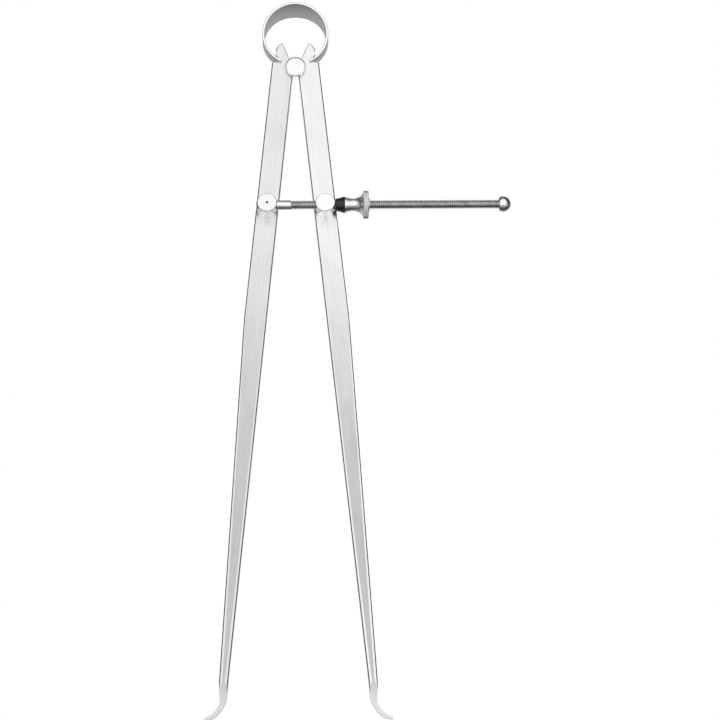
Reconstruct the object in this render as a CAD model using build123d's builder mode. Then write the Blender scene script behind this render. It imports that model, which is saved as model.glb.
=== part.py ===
from build123d import *

# Bow-spring inside caliper, 12 in size, standing upright in the XZ plane.
#
# Millimetres, +Z up. The caliper hangs from a peg through its bow: the origin is where that
# peg touches the inside of the bow's crown, half way through the thickness of the legs. The
# front faces -Y and the adjusting screw runs along +X. Each leg is drawn in a frame of its
# own, with the fulcrum axis at its origin and the inner edge of the leg along -Z, and is
# then turned about the fulcrum by half the angle between the legs.

import os
from math import atan2, cos, degrees, hypot, radians, sin

os.makedirs("parts", exist_ok=True)

# ---- legs ---------------------------------------------------------------------------
HALF_ANGLE = 5.65         # inner edge of each leg, from the vertical
LEG_THICK = 4.0
LEG_WIDTH = 9.9
LEG_INNER = 1.0           # inner edge to the fulcrum axis
LEG_OUTER = LEG_INNER + LEG_WIDTH
TAPER_START = 125.0       # below the fulcrum, where the outer edge starts to run in
ANKLE = 288.0             # below the fulcrum, where the foot starts
ANKLE_WIDTH = 3.8
TIP = (9.45, 303.9)       # outermost point of the foot, out and down from the fulcrum
TIP_THICK = 1.7           # across the foot, front to back, at its tip
EDGE_BREAK = 0.3          # chamfer all round the horn

# ---- bevels along the front and back edges of the leg -------------------------------
EDGE_SLOPE = 1.0          # depth of the narrow outer bevel for its width
EDGE_SPANS = (            # distance down the leg and width, at each end of a stretch
    ((-2.2, 0.5), (125.0, 0.5)),
    ((125.0, 0.5), (288.0, 0.6)),
    ((288.0, 0.6), (294.0, 0.1)),
)
BEVEL_SLOPE = 0.14        # depth of the shallow inner bevel for its width
BEVEL_SPANS = (
    ((90.0, 0.55), (125.0, 0.8)),
    ((125.0, 0.8), (288.0, 1.35)),
    ((288.0, 1.35), (294.0, 0.6)),
)
CUT_MARGIN = 0.5          # how far a cutting shape runs past the surface it cuts

# ---- fulcrum stud -------------------------------------------------------------------
CORE_RADIUS = 2.5
CORE_CLEARANCE = 0.05
HEAD_RADIUS = 4.55
HEAD_THICK = 2.0
HEAD_GAP = 0.1            # head to the legs' front faces, and core end past their backs
HEAD_DOME = 0.45
DOME_TAPER = 70           # degrees in from the axis, over the height of the dome

# ---- bow spring ---------------------------------------------------------------------
BOW_RADIUS = 14.55        # to the middle of the band's thickness
BOW_CENTRE = 16.4         # above the fulcrum axis
BAND_THICK = 1.05
BAND_WIDTHS = (           # degrees round from the crown, width
    (0, 13.6),
    (40, 12.3),
    (72, 10.7),
    (112, 7.5),
    (140, 6.5),
)
FORK_ROOT = 146.0         # degrees round from the crown to the bottom of the end slot
FORK_TIP = 153.0
FORK_GAP = 0.15           # each side of the leg

# ---- screw posts --------------------------------------------------------------------
POST_DROP = 71.0          # down the leg from the fulcrum axis
POST_OUT = LEG_INNER + LEG_WIDTH / 2
POST_RADIUS = 4.4
POST_HEIGHT = 7.0
POST_CHAMFER = 0.25
POST_GAP = 0.06           # under the post and under its washer
POST_SHANK = 2.2          # radius of the pivot through the leg
PIVOT_CLEARANCE = 0.06
WASHER_RADIUS = 3.6
WASHER_THICK = 0.8
RIVET_RADIUS = 3.0
RIVET_THICK = 0.7
RIVET_TAPER = 25          # degrees, round the peened end

# ---- adjusting screw and its nut ----------------------------------------------------
SCREW_HEIGHT = 3.9        # axis, in front of the legs' front faces
SHANK_RADIUS = 2.15
SHANK_CHAMFER = 0.4
THREAD_RADIUS = 2.0
THREAD_CLEARANCE = 0.1
SCREW_OVERHANG = 0.4      # past the left post
SHANK_LENGTH = 10.8       # plain part, from the left post's axis
THREAD_END = 89.8         # along X, where the ball's flat side is
THREAD_IN_BALL = 2.0
BALL_RADIUS = 3.6
BALL_FLAT = 2.2           # flat side of the ball, from its centre
LOCK_PIN_RADIUS = 0.6
LOCK_PIN_RECESS = 0.35
COLLAR_START = 17.45      # along X
COLLAR_SMALL = 2.8
COLLAR_BIG = 3.8
COLLAR_LENGTH = 4.1
NUT_END_RADIUS = 3.55     # where the nut meets its collar
NUT_NECK = 2.8
NUT_NECK_AT = 3.7         # from the nut's left end
NUT_HORN_LENGTH = 8.3
NUT_HORN_RADIUS = 5.6
NUT_RIM_RADIUS = 6.2
NUT_RIM_THICK = 2.3
NUT_RIM_CHAMFER = 0.2
NUT_HUB_RADIUS = 3.0
NUT_HUB_THICK = 0.5

# ---- places worked out from the sizes above -----------------------------------------
FULCRUM_Z = -(BOW_CENTRE + BOW_RADIUS - BAND_THICK / 2)
BOW_Z = FULCRUM_Z + BOW_CENTRE
FRONT = -LEG_THICK / 2
REAR = LEG_THICK / 2
SCREW_Y = FRONT - SCREW_HEIGHT
POST_REACH = hypot(POST_OUT, POST_DROP)
POST_ANGLE = HALF_ANGLE + degrees(atan2(POST_OUT, POST_DROP))
POST_X = POST_REACH * sin(radians(POST_ANGLE))
SCREW_Z = FULCRUM_Z - POST_REACH * cos(radians(POST_ANGLE))


def leg_plane(side):
    """Sketch plane of a leg: x runs out from the fulcrum, y runs down the leg."""
    tilt = radians(HALF_ANGLE)
    out = Vector(side * cos(tilt), 0, sin(tilt))
    normal = Vector(0, side, 0)
    return Plane(origin=(0, 0, FULCRUM_Z), x_dir=out, z_dir=normal)


def leg_point(side, out, down, y):
    """A point of a leg, in the caliper's own frame."""
    tilt = radians(HALF_ANGLE)
    x = out * cos(tilt) + down * sin(tilt)
    z = out * sin(tilt) - down * cos(tilt)
    return Vector(side * x, y, FULCRUM_Z + z)


def finish(name, made):
    """Label a finished piece and write it out under its own name."""
    made.part.label = name
    export_step(made.part, f"parts/{name}.step")
    print(f"{name}: {made.part.volume:.1f} mm3")


def outer_edge(down):
    """How far out the leg's outer edge is at a distance down the leg."""
    if down <= TAPER_START:
        return LEG_OUTER
    along = (down - TAPER_START) / (ANKLE - TAPER_START)
    return LEG_OUTER + along * (LEG_INNER + ANKLE_WIDTH - LEG_OUTER)


def make_leg(side):
    """One leg with its horn, fulcrum seat, pivot hole, bevels and foot."""
    down_leg = (leg_point(side, 0, 1, 0) - leg_point(side, 0, 0, 0)).normalized()
    with BuildPart() as leg:
        with BuildSketch(leg_plane(side)):
            with BuildLine():
                inner = Line((LEG_INNER, 1.5), (LEG_INNER, ANKLE))
                toe_low = (TIP[0] - 0.75, TIP[1] + 0.35)
                toe_high = (TIP[0] - 0.15, TIP[1] - 0.5)
                sole = Spline(
                    inner @ 1, (1.35, 296.6), (3.2, 300.4), toe_low, tangents=[(0, 1), (1, 0.25)]
                )
                toe = ThreePointArc(sole @ 1, TIP, toe_high)
                ankle_out = (LEG_INNER + ANKLE_WIDTH, ANKLE)
                instep = Spline(
                    toe @ 1, (6.0, 301.1), (4.1, 297.9), ankle_out, tangents=[(-1, -0.5), (0.09, -1)]
                )
                taper = Line(instep @ 1, (LEG_OUTER, TAPER_START))
                edge = Line(taper @ 1, (LEG_OUTER, -1.75))
                # the shoulder carries the band's end, in a notch tucked in under the horn
                ledge = Line(edge @ 1, (8.7, -2.1))
                pocket = ThreePointArc(ledge @ 1, (8.25, -2.55), (8.62, -3.0))
                wall = Line(pocket @ 1, (8.1, -4.0))
                roof = Line(wall @ 1, (9.4, -5.3))
                horn_side = Spline(
                    roof @ 1, (9.85, -8.2), (7.85, -12.0), tangents=[(0.4, -1), (-0.6, -0.6)]
                )
                horn_end = ThreePointArc(horn_side @ 1, (7.35, -12.15), (6.95, -11.8))
                throat = Line(horn_end @ 1, (1.6, -1.35))
                Line(throat @ 1, inner @ 0)
            make_face()
            Circle(CORE_RADIUS + CORE_CLEARANCE, mode=Mode.SUBTRACT)
        extrude(amount=LEG_THICK / 2, both=True)
        # break the horn's edges above the notch, front and back
        notch_top = FULCRUM_Z + 4.5
        horn_edges = leg.faces().filter_by(Axis.Y).edges().filter_by(
            lambda edge: edge.center().Z > notch_top
        )
        chamfer(horn_edges, EDGE_BREAK)
        # pivot hole of the screw post
        with BuildSketch(leg_plane(side)):
            with Locations((POST_OUT, POST_DROP)):
                Circle(POST_SHANK + PIVOT_CLEARANCE)
        extrude(amount=LEG_THICK, both=True, mode=Mode.SUBTRACT)
        # a narrow bevel all along each edge, with a shallow one inside it lower down
        cuts = [(span, EDGE_SLOPE) for span in EDGE_SPANS] + [(span, BEVEL_SLOPE) for span in BEVEL_SPANS]
        for face in (-1, 1):
            for edge_side in (-1, 1):
                for span, slope in cuts:
                    for down, width in span:
                        depth = width * slope
                        at = outer_edge(down) if edge_side > 0 else LEG_INNER
                        corner = leg_point(side, at, down, face * LEG_THICK / 2)
                        inner_point = leg_point(side, at - edge_side, down, face * LEG_THICK / 2)
                        inward = inner_point - corner
                        across = inward.cross(Vector(0, face, 0))
                        run_out = CUT_MARGIN * slope
                        with BuildSketch(Plane(origin=corner, x_dir=inward, z_dir=across)):
                            Polygon(
                                (width, 0), (-CUT_MARGIN, -depth - run_out),
                                (-CUT_MARGIN, CUT_MARGIN), (width, CUT_MARGIN),
                                align=None,
                            )
                    loft(mode=Mode.SUBTRACT)
        # the foot thins towards its tip, front and back
        for face in (-1, 1):
            heel = leg_point(side, 0, ANKLE, face * LEG_THICK / 2)
            length = TIP[1] - ANKLE + 2
            spare = (LEG_THICK - TIP_THICK) / 2
            with BuildSketch(Plane(origin=heel, x_dir=down_leg, z_dir=down_leg.cross(Vector(0, face, 0)))):
                Polygon((0, 0), (length, -spare), (length, 1), (0, 1), align=None)
            extrude(amount=2 * LEG_OUTER, both=True, mode=Mode.SUBTRACT)
    return leg


left_leg = make_leg(-1)
finish("left_leg", left_leg)

right_leg = make_leg(1)
finish("right_leg", right_leg)

# ---- fulcrum stud: a headed pin that both legs bear on --------------------------------
head_back = LEG_THICK / 2 + HEAD_GAP
with BuildPart() as fulcrum_stud:
    with BuildSketch(Plane.XZ):
        with Locations((0, FULCRUM_Z)):
            Circle(CORE_RADIUS)
    extrude(amount=head_back, both=True)
    chamfer(fulcrum_stud.edges().sort_by(Axis.Y)[-1], EDGE_BREAK)
    with BuildSketch(Plane.XZ.offset(head_back)):
        with Locations((0, FULCRUM_Z)):
            Circle(HEAD_RADIUS)
    extrude(amount=HEAD_THICK)
    # the front face is gently domed
    with BuildSketch(Plane.XZ.offset(head_back + HEAD_THICK)):
        with Locations((0, FULCRUM_Z)):
            Circle(HEAD_RADIUS)
    extrude(amount=HEAD_DOME, taper=DOME_TAPER)
    fillet(fulcrum_stud.edges().group_by(Axis.Y)[0], HEAD_DOME / 2)
finish("fulcrum_stud", fulcrum_stud)

# ---- bow spring: a wide band bent round in a C, its ends forked over the legs ---------
with BuildPart() as bow_spring:
    with BuildSketch(Plane.XZ):
        with BuildLine():
            outer = CenterArc((0, BOW_Z), BOW_RADIUS + BAND_THICK / 2, 90 - FORK_TIP, 2 * FORK_TIP)
            inner = CenterArc((0, BOW_Z), BOW_RADIUS - BAND_THICK / 2, 90 - FORK_TIP, 2 * FORK_TIP)
            Line(outer @ 0, inner @ 0)
            Line(outer @ 1, inner @ 1)
        make_face()
    extrude(amount=BAND_WIDTHS[0][1], both=True)
    # the band is widest at the crown and narrows round to its ends
    with BuildSketch(Plane.YZ):
        edge_points = [
            (width / 2, BOW_Z + BOW_RADIUS * cos(radians(angle))) for angle, width in BAND_WIDTHS
        ]
        low = BOW_Z - BOW_RADIUS
        high = BOW_Z + BOW_RADIUS + BAND_THICK
        with BuildLine():
            right_side = Spline(edge_points)
            left_side = mirror(right_side, about=Plane.YZ)
            Polyline(
                right_side @ 0, (BAND_WIDTHS[0][1] / 2, high), (-BAND_WIDTHS[0][1] / 2, high), left_side @ 0
            )
            Polyline(
                right_side @ 1, (BAND_WIDTHS[-1][1] / 2, low), (-BAND_WIDTHS[-1][1] / 2, low), left_side @ 1
            )
        make_face()
    extrude(amount=2 * BOW_RADIUS, both=True, mode=Mode.INTERSECT)
    # the end slots that the legs pass through
    slot_half = LEG_THICK / 2 + FORK_GAP
    for side in (-1, 1):
        with BuildSketch(Plane.XZ):
            start = 90 + side * FORK_ROOT
            with BuildLine():
                near = CenterArc((0, BOW_Z), BOW_RADIUS - BAND_THICK, start, side * 20)
                far = CenterArc((0, BOW_Z), BOW_RADIUS + BAND_THICK, start, side * 20)
                Line(near @ 0, far @ 0)
                Line(near @ 1, far @ 1)
            make_face()
        extrude(amount=slot_half, both=True, mode=Mode.SUBTRACT)
finish("bow_spring", bow_spring)

# ---- screw posts, each turning in its leg --------------------------------------------
shank_end = REAR + POST_GAP + WASHER_THICK + RIVET_THICK
for name, side in (("left_post", -1), ("right_post", 1)):
    with BuildPart() as post:
        with BuildSketch(Plane.XZ.offset(-FRONT + POST_GAP)):
            with Locations((side * POST_X, SCREW_Z)):
                Circle(POST_RADIUS)
        extrude(amount=POST_HEIGHT)
        chamfer(post.edges().sort_by(Axis.Y)[0], POST_CHAMFER)
        # the pivot through the leg, peened over its washer at the back
        with BuildSketch(Plane.XZ.offset(-FRONT + POST_GAP)):
            with Locations((side * POST_X, SCREW_Z)):
                Circle(POST_SHANK)
        extrude(amount=-(shank_end - FRONT + POST_GAP))
        with BuildSketch(Plane.XZ.offset(-(shank_end - RIVET_THICK))):
            with Locations((side * POST_X, SCREW_Z)):
                Circle(RIVET_RADIUS)
        extrude(amount=-RIVET_THICK, taper=RIVET_TAPER)
        # cross hole for the screw
        with BuildSketch(Plane.YZ.offset(side * POST_X)):
            with Locations((SCREW_Y, SCREW_Z)):
                Circle(SHANK_RADIUS if side < 0 else SHANK_RADIUS + THREAD_CLEARANCE)
        extrude(amount=2 * POST_RADIUS, both=True, mode=Mode.SUBTRACT)
        if side < 0:
            with BuildSketch(Plane.XZ.offset(-SCREW_Y)):
                with Locations((side * POST_X, SCREW_Z)):
                    Circle(LOCK_PIN_RADIUS)
            extrude(amount=2 * POST_HEIGHT, mode=Mode.SUBTRACT)
    finish(name, post)

    with BuildPart() as washer:
        with BuildSketch(Plane.XZ.offset(-(REAR + POST_GAP))):
            with Locations((side * POST_X, SCREW_Z)):
                Circle(WASHER_RADIUS)
                Circle(POST_SHANK, mode=Mode.SUBTRACT)
        extrude(amount=-WASHER_THICK)
    finish(f"{name}_washer", washer)

# ---- adjusting screw, pinned in the left post, with its ball --------------------------
screw_start = -POST_X - POST_RADIUS - SCREW_OVERHANG
shank_stop = -POST_X + SHANK_LENGTH
with BuildPart() as adjusting_screw:
    with BuildSketch(Plane.YZ.offset(screw_start)):
        with Locations((SCREW_Y, SCREW_Z)):
            Circle(SHANK_RADIUS)
    extrude(amount=shank_stop - screw_start)
    chamfer(adjusting_screw.edges().sort_by(Axis.X)[0], SHANK_CHAMFER)
    with BuildSketch(Plane.YZ.offset(shank_stop)):
        with Locations((SCREW_Y, SCREW_Z)):
            Circle(THREAD_RADIUS)
    extrude(amount=THREAD_END - shank_stop + THREAD_IN_BALL)
    # seat of the lock pin
    with BuildSketch(Plane.XZ.offset(-SCREW_Y)):
        with Locations((-POST_X, SCREW_Z)):
            Circle(LOCK_PIN_RADIUS)
    extrude(amount=SHANK_RADIUS + 1, mode=Mode.SUBTRACT)
finish("adjusting_screw", adjusting_screw)

with BuildPart() as screw_lock_pin:
    with BuildSketch(Plane.XZ.offset(-SCREW_Y)):
        with Locations((-POST_X, SCREW_Z)):
            Circle(LOCK_PIN_RADIUS)
    extrude(amount=POST_HEIGHT + POST_GAP - SCREW_HEIGHT - LOCK_PIN_RECESS)
finish("screw_lock_pin", screw_lock_pin)

ball_centre = THREAD_END + BALL_FLAT
with BuildPart() as ball_stop:
    with BuildSketch(Plane.XY.offset(SCREW_Z)):
        with Locations((ball_centre, SCREW_Y)):
            Circle(BALL_RADIUS)
        with Locations((THREAD_END - BALL_RADIUS, SCREW_Y)):
            Rectangle(2 * BALL_RADIUS, 4 * BALL_RADIUS, mode=Mode.SUBTRACT)
        with Locations((ball_centre, SCREW_Y + BALL_RADIUS)):
            Rectangle(4 * BALL_RADIUS, 2 * BALL_RADIUS, mode=Mode.SUBTRACT)
    revolve(axis=Axis((0, SCREW_Y, SCREW_Z), (1, 0, 0)))
    with BuildSketch(Plane.YZ.offset(THREAD_END - 1)):
        with Locations((SCREW_Y, SCREW_Z)):
            Circle(THREAD_RADIUS)
    extrude(amount=THREAD_IN_BALL + 1, mode=Mode.SUBTRACT)
finish("ball_stop", ball_stop)

# ---- nut and its thrust collar, which bears on the right post ------------------------
bore = THREAD_RADIUS + THREAD_CLEARANCE
nut_start = COLLAR_START + COLLAR_LENGTH
nut_horn_end = nut_start + NUT_HORN_LENGTH
nut_end = nut_horn_end + NUT_RIM_THICK
with BuildPart() as nut_collar:
    with BuildSketch(Plane.XY.offset(SCREW_Z)):
        with BuildLine():
            flare = ThreePointArc(
                (COLLAR_START, SCREW_Y - COLLAR_SMALL),
                (COLLAR_START + 0.55 * COLLAR_LENGTH, SCREW_Y - 0.55 * COLLAR_SMALL - 0.4 * COLLAR_BIG),
                (nut_start, SCREW_Y - COLLAR_BIG),
            )
            Polyline(flare @ 1, (nut_start, SCREW_Y - bore), (COLLAR_START, SCREW_Y - bore), flare @ 0)
        make_face()
    revolve(axis=Axis((0, SCREW_Y, SCREW_Z), (1, 0, 0)))
finish("nut_collar", nut_collar)

with BuildPart() as knurled_nut:
    with BuildSketch(Plane.XY.offset(SCREW_Z)):
        with BuildLine():
            neck = Spline(
                (nut_start, SCREW_Y - NUT_END_RADIUS),
                (nut_start + NUT_NECK_AT, SCREW_Y - NUT_NECK),
                (nut_horn_end, SCREW_Y - NUT_HORN_RADIUS),
                tangents=[(1, 0.35), (0.45, -1)],
            )
            Polyline(
                neck @ 1,
                (nut_horn_end, SCREW_Y - NUT_RIM_RADIUS + NUT_RIM_CHAMFER),
                (nut_horn_end + NUT_RIM_CHAMFER, SCREW_Y - NUT_RIM_RADIUS),
                (nut_end - NUT_RIM_CHAMFER, SCREW_Y - NUT_RIM_RADIUS),
                (nut_end, SCREW_Y - NUT_RIM_RADIUS + NUT_RIM_CHAMFER),
                (nut_end, SCREW_Y - NUT_HUB_RADIUS),
                (nut_end + NUT_HUB_THICK, SCREW_Y - NUT_HUB_RADIUS),
                (nut_end + NUT_HUB_THICK, SCREW_Y - bore),
                (nut_start, SCREW_Y - bore),
                neck @ 0,
            )
        make_face()
    revolve(axis=Axis((0, SCREW_Y, SCREW_Z), (1, 0, 0)))
finish("knurled_nut", knurled_nut)
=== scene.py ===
"""Looks of the bow-spring inside caliper: turned, ground, threaded and knurled steel.

Metres, in the frame's own axes: +Z up, the caliper's front faces -Y, its screw runs along +X.
"""
from math import ceil, cos, pi, radians, sin

import bpy
from mathutils import Matrix, Vector


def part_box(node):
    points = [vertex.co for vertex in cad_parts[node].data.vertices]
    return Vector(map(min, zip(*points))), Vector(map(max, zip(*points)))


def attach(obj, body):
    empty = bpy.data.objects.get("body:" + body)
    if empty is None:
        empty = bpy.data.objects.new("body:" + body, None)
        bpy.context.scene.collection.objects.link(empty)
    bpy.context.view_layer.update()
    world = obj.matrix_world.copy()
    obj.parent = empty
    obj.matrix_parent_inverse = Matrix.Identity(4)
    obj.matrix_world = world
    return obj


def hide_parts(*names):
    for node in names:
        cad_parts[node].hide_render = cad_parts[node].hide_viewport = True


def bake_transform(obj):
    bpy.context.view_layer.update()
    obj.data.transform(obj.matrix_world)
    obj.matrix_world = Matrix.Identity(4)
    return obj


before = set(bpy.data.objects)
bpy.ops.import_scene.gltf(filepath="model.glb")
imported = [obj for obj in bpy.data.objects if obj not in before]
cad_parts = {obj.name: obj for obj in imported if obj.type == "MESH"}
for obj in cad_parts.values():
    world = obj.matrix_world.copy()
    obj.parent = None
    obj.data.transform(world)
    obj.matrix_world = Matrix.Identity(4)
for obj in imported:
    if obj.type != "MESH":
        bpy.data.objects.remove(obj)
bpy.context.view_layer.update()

MM = 0.001

# ---- sizes that the looks share with the CAD ------------------------------------------
LEG_TILT = radians(5.65)         # inner edge of each leg, from the vertical
LEG_HALF = 2.0 * MM
FORK_GAP = 0.15 * MM
FORK_ROOT = radians(146.0)       # round from the crown to the bottom of the bow's end slot
FORK_TIP = radians(153.0)
BAND_HALF_WIDTHS = (             # degrees round from the crown, half the band's width in mm
    (0, 6.8), (40, 6.15), (72, 5.35), (112, 3.75), (140, 3.25), (160, 3.25),
)
THREAD_PITCH = 0.9 * MM
THREAD_CREST = 2.0 * MM
THREAD_DEPTH = 0.5 * MM
SHANK_LENGTH = 10.8 * MM         # plain part of the screw, from the left post's axis
BORE = 2.16 * MM                 # radius of the hole through the nut and its collar
COLLAR_SMALL = 2.8 * MM
NUT_END_RADIUS = 3.55 * MM
NUT_NECK = 2.8 * MM
NUT_NECK_AT = 3.7 * MM
NUT_HORN_RADIUS = 5.6 * MM
NUT_RIM_THICK = 2.3 * MM
NUT_HUB_RADIUS = 3.0 * MM
NUT_HUB_THICK = 0.5 * MM


def middle(node):
    """Centre of a CAD node's box."""
    low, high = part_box(node)
    return (Vector(low) + Vector(high)) / 2


STUD = middle("fulcrum_stud")
RIGHT_POST = middle("right_post")
LEFT_POST = middle("left_post")
SCREW_AXIS = middle("adjusting_screw")


# ---- mesh making ----------------------------------------------------------------------
def new_piece(name, points, faces, materials, smooth=True):
    """A mesh object with its materials, smooth shaded."""
    mesh = bpy.data.meshes.new(name)
    mesh.from_pydata(points, [], faces)
    mesh.validate()
    piece = bpy.data.objects.new(name, mesh)
    bpy.context.collection.objects.link(piece)
    for material in materials:
        mesh.materials.append(material)
    if smooth:
        mesh.polygons.foreach_set("use_smooth", [True] * len(mesh.polygons))
    return piece


def tube(rings, closed=False):
    """Quads between rings of points, capped at both ends unless the rings close on themselves."""
    count = len(rings[0])
    points = [point for ring in rings for point in ring]
    faces = []
    spans = len(rings) if closed else len(rings) - 1
    for i in range(spans):
        j = (i + 1) % len(rings)
        for k in range(count):
            m = (k + 1) % count
            faces.append((i * count + k, i * count + m, j * count + m, j * count + k))
    if not closed:
        faces.append(tuple(range(count - 1, -1, -1)))
        last = (len(rings) - 1) * count
        faces.append(tuple(last + k for k in range(count)))
    return points, faces


def smooth_line(points, steps=6):
    """Catmull-Rom curve through (along, radius) points."""
    line = []
    for i in range(len(points) - 1):
        before = points[max(i - 1, 0)]
        start, end = points[i], points[i + 1]
        after = points[min(i + 2, len(points) - 1)]
        for k in range(steps):
            t = k / steps
            line.append(tuple(
                0.5 * (2 * b + (c - a) * t + (2 * a - 5 * b + 4 * c - d) * t ** 2
                       + (3 * b - a - 3 * c + d) * t ** 3)
                for a, b, c, d in zip(before, start, end, after)
            ))
    line.append(points[-1])
    return line


def lathe(name, axis, origin, profile, materials, segments=96, cut=None):
    """A turned solid. profile is (along, radius) pairs and cut(along, turn, radius) shapes a radius."""
    rings = []
    for along, radius in profile:
        ring = []
        for k in range(segments):
            turn = 2 * pi * k / segments
            r = cut(along, turn, radius) if cut else radius
            if axis == "X":
                ring.append((origin[0] + along, origin[1] + r * cos(turn), origin[2] + r * sin(turn)))
            else:
                ring.append((origin[0] + r * cos(turn), origin[1] + along, origin[2] - r * sin(turn)))
        rings.append(ring)
    points, faces = tube(rings)
    return new_piece(name, points, faces, materials)


def sharpen(piece, degrees):
    """Keeps edges sharper than an angle crisp on a smooth shaded piece."""
    piece.data.set_sharp_from_angle(angle=radians(degrees))
    return piece


# ---- materials ------------------------------------------------------------------------
class Nodes:
    """A material's node tree with short calls for the nodes used here."""

    def __init__(self, name, metallic=1.0, **sockets):
        self.material = bpy.data.materials.new(name)
        self.material.use_nodes = True
        self.tree = self.material.node_tree
        self.shader = self.tree.nodes["Principled BSDF"]
        self.shader.inputs["Metallic"].default_value = metallic
        for socket, value in sockets.items():
            self.shader.inputs[socket.replace("_", " ")].default_value = value
        places = self.add("ShaderNodeTexCoord")
        self.coordinates = places.outputs["Object"]
        self.normal = places.outputs["Normal"]

    def add(self, kind, **settings):
        node = self.tree.nodes.new(kind)
        for key, value in settings.items():
            setattr(node, key, value)
        return node

    def link(self, output, socket):
        self.tree.links.new(output, socket)

    def mapped(self, scale=(1, 1, 1), rotation=(0, 0, 0)):
        """Object coordinates, turned and then stretched."""
        turn = self.add("ShaderNodeMapping", vector_type="POINT")
        turn.inputs["Rotation"].default_value = rotation
        self.link(self.coordinates, turn.inputs["Vector"])
        stretch = self.add("ShaderNodeVectorMath", operation="MULTIPLY")
        stretch.inputs[1].default_value = scale
        self.link(turn.outputs["Vector"], stretch.inputs[0])
        return stretch.outputs["Vector"]

    def noise(self, vector, scale=1.0, detail=3.0, roughness=0.5):
        node = self.add("ShaderNodeTexNoise")
        node.inputs["Scale"].default_value = scale
        node.inputs["Detail"].default_value = detail
        node.inputs["Roughness"].default_value = roughness
        self.link(vector, node.inputs["Vector"])
        return node.outputs["Fac"]

    def remap(self, value, low, high, new_low, new_high):
        node = self.add("ShaderNodeMapRange")
        numbers = {"From Min": low, "From Max": high, "To Min": new_low, "To Max": new_high}
        for socket, number in numbers.items():
            node.inputs[socket].default_value = number
        self.link(value, node.inputs["Value"])
        return node.outputs["Result"]

    def math(self, operation, a, b):
        node = self.add("ShaderNodeMath", operation=operation)
        for socket, value in zip(node.inputs, (a, b)):
            if isinstance(value, (int, float)):
                socket.default_value = value
            else:
                self.link(value, socket)
        return node.outputs["Value"]

    def blend(self, factor, colour_a, colour_b):
        node = self.add("ShaderNodeMix", data_type="RGBA")
        node.inputs["A"].default_value = (*colour_a, 1)
        node.inputs["B"].default_value = (*colour_b, 1)
        self.link(factor, node.inputs["Factor"])
        return node.outputs["Result"]

    def bump(self, height, strength, distance, after=None):
        node = self.add("ShaderNodeBump")
        node.inputs["Strength"].default_value = strength
        node.inputs["Distance"].default_value = distance
        self.link(height, node.inputs["Height"])
        if after is not None:
            self.link(after, node.inputs["Normal"])
        return node.outputs["Normal"]

    def set(self, socket, output):
        self.link(output, self.shader.inputs[socket])


FLAT_NORMAL = (0.992, 0.998)     # how squarely a face looks forward or back to count as flat
PAINTED_SHADE_FROM_TO = (-0.11, -0.22)    # heights between which the flat faces' painted shade comes in
FOOT_FROM_TO = (-0.327, -0.312)  # heights between which it fades again over the foot
FOOT_SHADE_KEPT = 0.45                 # how much of the painted shade is left at the tip


def ground_steel(name, turn, light, dark, rough_low, rough_high, painted_shade=None):
    """Flat steel ground along its length: fine streaks, faint handling marks, tiny pits.

    With a painted shade colour, the flat faces take it up gradually down the leg and the bevels stay bright;
    this is painted shade for the darker reflection that the flat faces give lower on the leg.
    """
    n = Nodes(name)
    streaks = n.noise(n.mapped((5200, 900, 60), rotation=(0, turn, 0)), detail=4, roughness=0.65)
    fine = n.noise(n.mapped((11000, 2400, 240), rotation=(0, turn, 0)), detail=2)
    marks = n.noise(n.mapped((70, 70, 38), rotation=(0, turn, 0)), detail=5, roughness=0.6)
    mottle = n.math("ADD", n.math("MULTIPLY", streaks, 0.55), n.math("MULTIPLY", marks, 0.45))
    shade = n.remap(mottle, 0.36, 0.62, 0, 1)
    colour = n.blend(shade, dark, light)
    # painted shade: faces that look squarely forward or back darken down the leg and ease off again over the
    # foot
    if painted_shade is not None:
        facing = n.add("ShaderNodeSeparateXYZ")
        n.link(n.normal, facing.inputs[0])
        flat = n.remap(n.math("ABSOLUTE", facing.outputs["Y"], 0.0), *FLAT_NORMAL, 0, 1)
        place = n.add("ShaderNodeSeparateXYZ")
        n.link(n.coordinates, place.inputs[0])
        down = n.remap(place.outputs["Z"], *PAINTED_SHADE_FROM_TO, 0, 1)
        foot = n.remap(place.outputs["Z"], *FOOT_FROM_TO, FOOT_SHADE_KEPT, 1)
        mix = n.add("ShaderNodeMix", data_type="RGBA")
        n.link(n.math("MULTIPLY", n.math("MULTIPLY", flat, down), foot), mix.inputs["Factor"])
        n.link(colour, mix.inputs["A"])
        painted_shade_dark = tuple(0.8 * channel for channel in painted_shade)
        n.link(n.blend(shade, painted_shade_dark, painted_shade), mix.inputs["B"])
        colour = mix.outputs["Result"]
    n.set("Base Color", colour)
    n.set("Roughness", n.remap(n.math("ADD", fine, marks), 0.7, 1.3, rough_low, rough_high))
    coarse = n.bump(streaks, 0.16, 0.03 * MM)
    n.set("Normal", n.bump(fine, 0.12, 0.015 * MM, coarse))
    return n.material


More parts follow.
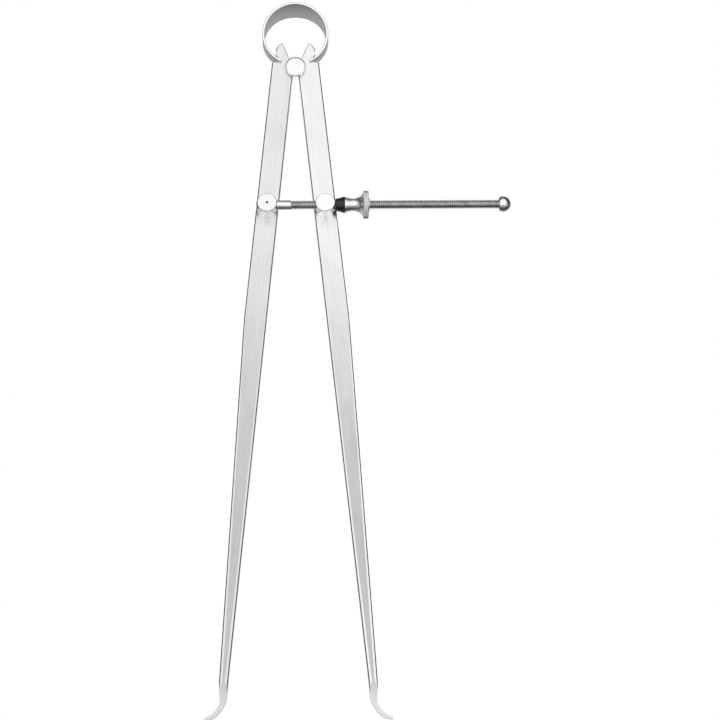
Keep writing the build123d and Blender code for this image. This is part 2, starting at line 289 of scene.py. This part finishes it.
def turned_steel(name, centre, axis, light, dark, ring_scale, ring_strength, rough=(0.2, 0.34)):
    """Steel turned about an axis: rings left by the tool, and slight unevenness round them."""
    n = Nodes(name)
    offset = n.add("ShaderNodeVectorMath", operation="SUBTRACT")
    offset.inputs[1].default_value = centre
    n.link(n.coordinates, offset.inputs[0])
    flatten = n.add("ShaderNodeVectorMath", operation="MULTIPLY")
    flatten.inputs[1].default_value = (0, 1, 1) if axis == "X" else (1, 0, 1)
    n.link(offset.outputs["Vector"], flatten.inputs[0])
    length = n.add("ShaderNodeVectorMath", operation="LENGTH")
    n.link(flatten.outputs["Vector"], length.inputs[0])
    split = n.add("ShaderNodeSeparateXYZ")
    n.link(offset.outputs["Vector"], split.inputs[0])
    along = split.outputs[axis]
    place = n.add("ShaderNodeCombineXYZ")
    n.link(n.math("MULTIPLY", length.outputs["Value"], ring_scale), place.inputs["X"])
    n.link(n.math("MULTIPLY", along, ring_scale), place.inputs["Y"])
    rings = n.noise(place.outputs["Vector"], detail=2, roughness=0.6)
    patches = n.noise(n.mapped((260, 260, 260)), detail=4, roughness=0.6)
    n.set("Base Color", n.blend(n.remap(n.math("ADD", rings, patches), 0.75, 1.25, 0, 1), dark, light))
    n.set("Roughness", n.remap(patches, 0.3, 0.7, *rough))
    n.set("Normal", n.bump(rings, ring_strength, 0.03 * MM))
    return n.material


LEG_LIGHT, LEG_DARK = (0.95, 0.95, 0.955), (0.8, 0.8, 0.805)
# the left leg's tones are painted darker than the right leg's, though both are the same steel: painted shade
LEFT_SHADED_LIGHT, LEFT_SHADED_DARK = (0.86, 0.86, 0.865), (0.7, 0.7, 0.705)
# the tone the legs' flat faces are painted down to lower on the leg: painted shade
LEG_PAINTED_SHADE = (0.6, 0.6, 0.605)
leg_steels = {
    "left_leg": ground_steel("ground_steel_left", -LEG_TILT, LEFT_SHADED_LIGHT, LEFT_SHADED_DARK, 0.2, 0.34, LEG_PAINTED_SHADE),
    "right_leg": ground_steel("ground_steel_right", LEG_TILT, LEG_LIGHT, LEG_DARK, 0.2, 0.34, LEG_PAINTED_SHADE),
}
# the band's broad inner and outer faces take a darker copy of the bright steel on its sides: painted shade
spring_face_painted_shade = ground_steel("spring_steel_face_painted_shade", 0.0, (0.62, 0.62, 0.625), (0.42, 0.42, 0.425), 0.28, 0.42)
spring_edge = ground_steel("spring_steel_edge", 0.0, (0.98, 0.98, 0.985), (0.93, 0.93, 0.935), 0.16, 0.26)
stud_steel = turned_steel("stud_steel", STUD, "Y", (0.98, 0.98, 0.985), (0.9, 0.9, 0.905), 3200, 0.08)
left_post_steel = turned_steel(
    "left_post_steel", LEFT_POST, "Y", (0.98, 0.98, 0.985), (0.84, 0.84, 0.85), 2300, 0.4
)
right_post_steel = turned_steel(
    "right_post_steel", RIGHT_POST, "Y", (0.98, 0.98, 0.985), (0.93, 0.93, 0.935), 3000, 0.1
)
shank_steel = turned_steel(
    "shank_steel", SCREW_AXIS, "X", (0.97, 0.97, 0.975), (0.86, 0.86, 0.865), 4200, 0.12
)
# the thread is painted darker than the shank, though both are the same rod: painted shade of its grooves
thread_steel = turned_steel(
    "thread_steel", SCREW_AXIS, "X", (0.74, 0.73, 0.72), (0.42, 0.41, 0.40), 5200, 0.1, (0.22, 0.36)
)
nut_steel = turned_steel("nut_steel", SCREW_AXIS, "X", (0.95, 0.95, 0.95), (0.8, 0.8, 0.8), 2600, 0.2)
ball_steel = turned_steel(
    "ball_steel", SCREW_AXIS, "X", (0.97, 0.97, 0.975), (0.9, 0.9, 0.905), 1500, 0.05, (0.06, 0.12)
)
pin_steel = turned_steel("pin_steel", LEFT_POST, "Y", (0.12, 0.12, 0.12), (0.05, 0.05, 0.05), 3000, 0.1)


def black_oxide():
    """Blackened steel: almost black, a little oily, with brighter rubbed patches."""
    n = Nodes("black_oxide", metallic=0.35, Coat_Weight=0.25, Coat_Roughness=0.15)
    rubbed = n.noise(n.mapped((420, 420, 420)), detail=5, roughness=0.65)
    rings = n.noise(n.mapped((5200, 60, 60)), detail=2)
    n.set("Base Color", n.blend(n.remap(rubbed, 0.45, 0.8, 0, 1), (0.012, 0.012, 0.013), (0.05, 0.05, 0.052)))
    n.set("Roughness", n.remap(rubbed, 0.3, 0.7, 0.22, 0.4))
    n.set("Normal", n.bump(rings, 0.12, 0.02 * MM))
    return n.material


collar_black = black_oxide()

node_materials = {
    **leg_steels,
    "left_post": left_post_steel,
    "right_post": right_post_steel,
    "left_post_washer": stud_steel,
    "right_post_washer": stud_steel,
    "screw_lock_pin": pin_steel,
}
for node, material in node_materials.items():
    for material_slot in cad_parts[node].material_slots:
        material_slot.material = material


# ---- bow spring -----------------------------------------------------------------------
def bow_half(side):
    """Half of the bow, from its crown to the forked end that one leg carries."""
    low, high = (Vector(corner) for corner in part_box("bow_spring"))
    outer = high.x
    thick = high.z
    middle_radius = outer - thick / 2
    centre_z = high.z - outer
    corner = 0.27 * MM
    widths = smooth_line(BAND_HALF_WIDTHS, 8)

    def half_width(angle):
        """Half the band's width at an angle round from the crown."""
        turn = angle * 180 / pi
        for (start, here), (end, there) in zip(widths, widths[1:]):
            if turn <= end:
                return (here + (there - here) * (turn - start) / (end - start)) * MM
        return widths[-1][1] * MM

    def section(angle, near, far):
        """Rounded rectangle across the band, from y = near to y = far."""
        ring = []
        corners = (
            (far - corner, thick / 2 - corner, 0), (near + corner, thick / 2 - corner, 1),
            (near + corner, corner - thick / 2, 2), (far - corner, corner - thick / 2, 3),
        )
        for y, r, quarter in corners:
            for k in range(4):
                turn = (quarter + k / 3) * pi / 2
                across = y + corner * cos(turn)
                radius = middle_radius + r + corner * sin(turn)
                ring.append((side * radius * sin(angle), across, centre_z + radius * cos(angle)))
        return ring

    points, faces, edge_faces = [], [], []

    def add(rings):
        start = len(points)
        more, quads = tube(rings)
        points.extend(more)
        count = len(rings[0])
        for number, quad in enumerate(quads):
            where = number % count
            faces.append(tuple(start + index for index in quad))
            # the long faces of the band run between the quarters that end and start in it
            edge_faces.append(number < (len(rings) - 1) * count and where not in (3, 11))

    steps = 84
    add([section(FORK_ROOT * i / steps, -half_width(FORK_ROOT * i / steps), half_width(FORK_ROOT * i / steps))
         for i in range(steps + 1)])
    slot_half = LEG_HALF + FORK_GAP
    for face in (-1, 1):
        rings = []
        for i in range(9):
            angle = FORK_ROOT - 0.004 + (FORK_TIP - FORK_ROOT + 0.004) * i / 8
            ends = sorted((face * slot_half, face * half_width(angle)))
            rings.append(section(angle, *ends))
        add(rings)
    if side < 0:
        faces = [tuple(reversed(face)) for face in faces]
    name = "bow_left" if side < 0 else "bow_right"
    piece = new_piece(name, points, faces, [spring_face_painted_shade, spring_edge])
    # painted shade: the broad faces and end caps get the darker steel, the sides and rounded corners the
    # bright one
    piece.data.polygons.foreach_set("material_index", [1 if edge else 0 for edge in edge_faces])
    sharpen(piece, 50)
    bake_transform(piece)
    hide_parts("bow_spring")
    return piece


bow_half(-1)
bow_half(1)


# ---- fulcrum stud ---------------------------------------------------------------------
def fulcrum_stud():
    """A turned pin through both legs, with a broad, gently domed head in front."""
    low, high = (Vector(corner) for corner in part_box("fulcrum_stud"))
    radius = (high.x - low.x) / 2
    core = 2.5 * MM
    head_back = -LEG_HALF - 0.1 * MM
    dome = 0.45 * MM
    rounding = 0.16 * MM
    profile = []
    for k in range(15):
        share = k / 14
        profile.append((low.y + dome * (1 - (1 - share ** 4.0) ** 0.6), max(radius * share, 0.00001)))
    profile += [(low.y + dome + 0.1 * MM, radius), (head_back - rounding, radius)]
    profile += [(head_back - rounding / 3, radius - rounding / 3), (head_back, radius - rounding)]
    profile += [(head_back, core), (high.y - 0.3 * MM, core), (high.y, core - 0.3 * MM), (high.y, 0.00001)]
    piece = lathe("fulcrum_pin", "Y", (STUD.x, 0, STUD.z), profile, [stud_steel], 128)
    sharpen(piece, 40)
    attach(piece, "head")
    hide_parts("fulcrum_stud")


fulcrum_stud()


# ---- adjusting screw ------------------------------------------------------------------
def plain_shank():
    """The smooth length of the screw that is pinned in the left post."""
    low, high = (Vector(corner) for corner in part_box("adjusting_screw"))
    radius = (high.z - low.z) / 2
    length = LEFT_POST.x + SHANK_LENGTH - low.x
    profile = [
        (0, 0.00001), (0, radius - 0.7 * MM), (0.1 * MM, radius - 0.35 * MM), (0.3 * MM, radius - 0.1 * MM),
        (0.6 * MM, radius), (length - 0.3 * MM, radius), (length - 0.1 * MM, radius - 0.08 * MM),
        (length, radius - 0.3 * MM), (length, radius - 0.6 * MM),
    ]
    piece = lathe("screw_shank", "X", (low.x, SCREW_AXIS.y, SCREW_AXIS.z), profile, [shank_steel], 96)
    sharpen(piece, 45)
    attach(piece, "screw")
    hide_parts("adjusting_screw")


def screw_thread():
    """A real helical thread from the end of the plain shank to the ball."""
    low, high = (Vector(corner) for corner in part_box("adjusting_screw"))
    start = LEFT_POST.x + SHANK_LENGTH - 0.1 * MM
    end = high.x
    crest = THREAD_CREST
    root = crest - THREAD_DEPTH
    # one pitch of the thread's section: root, flank, crest, flank
    flank_top = crest - 0.08 * MM
    crest_edge = crest - 0.015 * MM
    section = (
        (0.0, root), (0.08, root), (0.28, flank_top), (0.38, crest_edge), (0.46, crest),
        (0.54, crest), (0.62, crest_edge), (0.72, flank_top), (0.92, root),
    )
    segments = 40
    turns = ceil((end - start) / THREAD_PITCH) + 1
    rows = [((turn + share) * THREAD_PITCH, radius) for turn in range(-1, turns) for share, radius in section]
    rings = []
    for along, radius in rows:
        ring = []
        for k in range(segments):
            angle = 2 * pi * k / segments
            x = start + along + THREAD_PITCH * k / segments
            r = radius
            if x < start or x > end:
                r = root
            x = min(max(x, start), end)
            ring.append((x, SCREW_AXIS.y + r * cos(angle), SCREW_AXIS.z + r * sin(angle)))
        rings.append(ring)
    points = [point for ring in rings for point in ring]
    faces = []
    per_turn = len(section)
    for i in range(len(rings) - 1):
        for k in range(segments):
            if k < segments - 1:
                faces.append((i * segments + k, i * segments + k + 1,
                              (i + 1) * segments + k + 1, (i + 1) * segments + k))
            elif i + 1 + per_turn < len(rings):
                # the seam joins each point to the one a whole pitch further on
                faces.append((i * segments + k, (i + per_turn) * segments,
                              (i + 1 + per_turn) * segments, (i + 1) * segments + k))
    piece = new_piece("screw_thread", points, faces, [thread_steel])
    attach(piece, "screw")


plain_shank()
screw_thread()


# ---- ball, collar and nut -------------------------------------------------------------
def ball():
    """Polished ball with a flat towards the nut."""
    low, high = (Vector(corner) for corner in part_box("ball_stop"))
    radius = (high.z - low.z) / 2
    centre = high.x - radius
    profile = [(low.x - centre, 1.5 * MM)]
    for k in range(40):
        share = k / 39
        turn = pi * 0.66 * (1 - share)
        x = radius * cos(turn)
        if x > low.x - centre + 0.02 * MM:
            profile.append((x, max(radius * sin(turn), 0.00001)))
    piece = lathe("ball_end", "X", (centre, SCREW_AXIS.y, SCREW_AXIS.z), profile, [ball_steel], 96)
    sharpen(piece, 50)
    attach(piece, "screw")
    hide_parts("ball_stop")


def collar():
    """Black conical thrust collar with a slightly hollow flank."""
    low, high = (Vector(corner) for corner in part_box("nut_collar"))
    length = high.x - low.x
    big = (high.z - low.z) / 2
    small = COLLAR_SMALL
    flank = smooth_line([
        (0.15 * MM, small), (0.3 * length, small + 0.16 * (big - small)),
        (0.65 * length, small + 0.52 * (big - small)), (length - 0.2 * MM, big),
    ])
    profile = [(0, BORE), (0, small - 0.15 * MM)] + flank + [(length, big - 0.15 * MM), (length, BORE)]
    piece = lathe("thrust_collar", "X", (low.x, SCREW_AXIS.y, SCREW_AXIS.z), profile, [collar_black], 96)
    sharpen(piece, 40)
    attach(piece, "nut")
    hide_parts("nut_collar")


def knurled_nut():
    """Trumpet-shaped nut with a diamond-knurled rim."""
    low, high = (Vector(corner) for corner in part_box("knurled_nut"))
    rim = (high.z - low.z) / 2
    rim_end = high.x - low.x - NUT_HUB_THICK
    rim_start = rim_end - NUT_RIM_THICK
    teeth = 54
    depth = 0.3 * MM
    slant = 1.1 * 2 * pi / teeth / MM

    def knurl(along, turn, radius):
        inset = min(along - rim_start, rim_end - along)
        if radius < rim - 0.05 * MM or inset < 0.2 * MM:
            return radius
        one = abs(((turn + slant * along) * teeth / (2 * pi)) % 1 - 0.5) * 2
        other = abs(((turn - slant * along) * teeth / (2 * pi)) % 1 - 0.5) * 2
        return radius - depth * (1 - min(1.0, 1.35 * min(one, other)))

    neck = smooth_line([
        (0.12 * MM, NUT_END_RADIUS), (1.2 * MM, 3.3 * MM), (2.5 * MM, 2.93 * MM), (NUT_NECK_AT, NUT_NECK),
        (5.2 * MM, 3.05 * MM), (6.9 * MM, 3.95 * MM), (rim_start - 0.3 * MM, NUT_HORN_RADIUS - 0.25 * MM),
    ], 7)
    profile = [(0, BORE), (0, NUT_END_RADIUS - 0.12 * MM)] + neck + [(rim_start, NUT_HORN_RADIUS)]
    profile += [(rim_start, rim - 0.25 * MM), (rim_start + 0.2 * MM, rim)]
    rows = 22
    profile += [(rim_start + 0.2 * MM + (NUT_RIM_THICK - 0.4 * MM) * k / rows, rim) for k in range(1, rows)]
    profile += [(rim_end - 0.2 * MM, rim), (rim_end, rim - 0.25 * MM)]
    profile += [(rim_end, NUT_HUB_RADIUS + 0.3 * MM), (rim_end + 0.08 * MM, NUT_HUB_RADIUS)]
    hub_end = rim_end + NUT_HUB_THICK
    profile += [(hub_end - 0.1 * MM, NUT_HUB_RADIUS), (hub_end, NUT_HUB_RADIUS - 0.1 * MM)]
    profile += [(hub_end, BORE)]
    start = (low.x, SCREW_AXIS.y, SCREW_AXIS.z)
    piece = lathe("trumpet_nut", "X", start, profile, [nut_steel], teeth * 8, knurl)
    sharpen(piece, 35)
    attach(piece, "nut")
    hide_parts("knurled_nut")


ball()
collar()
knurled_nut()


# ---- studio ---------------------------------------------------------------------------
DARKEST_REFLECTION = 0.06
REFLECTED_LIGHTS = (             # direction, degrees it is full to, degrees it ends at, strength
    ((0, -1, 0.14), 30, 58, 1.0),
    ((0, -0.2, 1), 8, 30, 0.12),
    ((0, 1, 0.2), 30, 74, 0.6),
    ((-0.7, -0.7, -0.45), 14, 40, 0.4),
    ((0.7, -0.7, -0.45), 14, 40, 0.4),
    ((0, -0.6, -1), 8, 34, 0.2),
)
FLOOR_SIZE = 30.0                # from the middle to each side
FLOOR_Z = -0.8
CAMERA_PLACE = (0.0027, -1.0997, -0.5973)
CAMERA_PAN = radians(1.295)
CAMERA_TILT = radians(21.13)
CAMERA_ROLL = radians(-0.790)
CAMERA_LENS = 134.94


def studio_world():
    """White to the eye. Reflections see a bright front, dark sides and a softer back and underside."""
    world = bpy.data.worlds.new("studio")
    bpy.context.scene.world = world
    world.use_nodes = True
    tree = world.node_tree
    tree.nodes.clear()

    def math(operation, a, b, clamp=False):
        node = tree.nodes.new("ShaderNodeMath")
        node.operation = operation
        node.use_clamp = clamp
        for socket, value in zip(node.inputs, (a, b)):
            if isinstance(value, (int, float)):
                socket.default_value = value
            else:
                tree.links.new(value, socket)
        return node.outputs["Value"]

    def lobe(direction, inner, outer, strength):
        """Soft-edged round light in a direction, from full at inner to nothing at outer degrees."""
        dot = tree.nodes.new("ShaderNodeVectorMath")
        dot.operation = "DOT_PRODUCT"
        dot.inputs[1].default_value = Vector(direction).normalized()
        tree.links.new(view.outputs["Generated"], dot.inputs[0])
        ramp = tree.nodes.new("ShaderNodeMapRange")
        ramp.interpolation_type = "SMOOTHSTEP"
        ramp.inputs["From Min"].default_value = cos(radians(outer))
        ramp.inputs["From Max"].default_value = cos(radians(inner))
        ramp.inputs["To Min"].default_value = 0.0
        ramp.inputs["To Max"].default_value = strength
        tree.links.new(dot.outputs["Value"], ramp.inputs["Value"])
        return ramp.outputs["Result"]

    view = tree.nodes.new("ShaderNodeTexCoord")
    glow = DARKEST_REFLECTION
    for light in REFLECTED_LIGHTS:
        glow = math("ADD", lobe(*light), glow)
    path = tree.nodes.new("ShaderNodeLightPath")
    background = tree.nodes.new("ShaderNodeBackground")
    background.inputs["Color"].default_value = (1, 1, 1, 1)
    output = tree.nodes.new("ShaderNodeOutputWorld")
    glossy = path.outputs["Is Glossy Ray"]
    strength = math("ADD", math("MULTIPLY", glow, glossy), math("SUBTRACT", 1.0, glossy))
    tree.links.new(strength, background.inputs["Strength"])
    tree.links.new(background.outputs["Background"], output.inputs["Surface"])


def floor():
    """A plain pale floor well below the hanging tool."""
    n = Nodes("floor", metallic=0.0, Roughness=0.9)
    grain = n.noise(n.mapped((30, 30, 30)), detail=4)
    n.set("Base Color", n.blend(n.remap(grain, 0.3, 0.7, 0, 1), (0.93, 0.93, 0.93), (0.96, 0.96, 0.96)))
    size = FLOOR_SIZE
    points = [(x, y, FLOOR_Z) for x, y in ((-size, -size), (size, -size), (size, size), (-size, size))]
    plane = new_piece("floor", points, [(0, 1, 2, 3)], [n.material], smooth=False)
    plane.visible_glossy = False


def camera():
    """Far in front and below, with a long lens, so the whole tool is seen a little from below."""
    pan, tilt, roll = CAMERA_PAN, CAMERA_TILT, CAMERA_ROLL
    forward = Vector((sin(pan) * cos(tilt), cos(pan) * cos(tilt), sin(tilt)))
    right = Vector((cos(pan), -sin(pan), 0))
    up = right.cross(forward)
    right, up = right * cos(roll) + up * sin(roll), up * cos(roll) - right * sin(roll)
    data = bpy.data.cameras.new("camera")
    data.lens = CAMERA_LENS
    data.sensor_width = 36
    data.clip_start = 0.01
    made = bpy.data.objects.new("camera", data)
    bpy.context.collection.objects.link(made)
    turned = Matrix((right, up, -forward)).transposed().to_4x4()
    made.matrix_world = Matrix.Translation(CAMERA_PLACE) @ turned
    bpy.context.scene.camera = made


studio_world()
floor()
camera()
bpy.context.scene.view_settings.view_transform = "Standard"
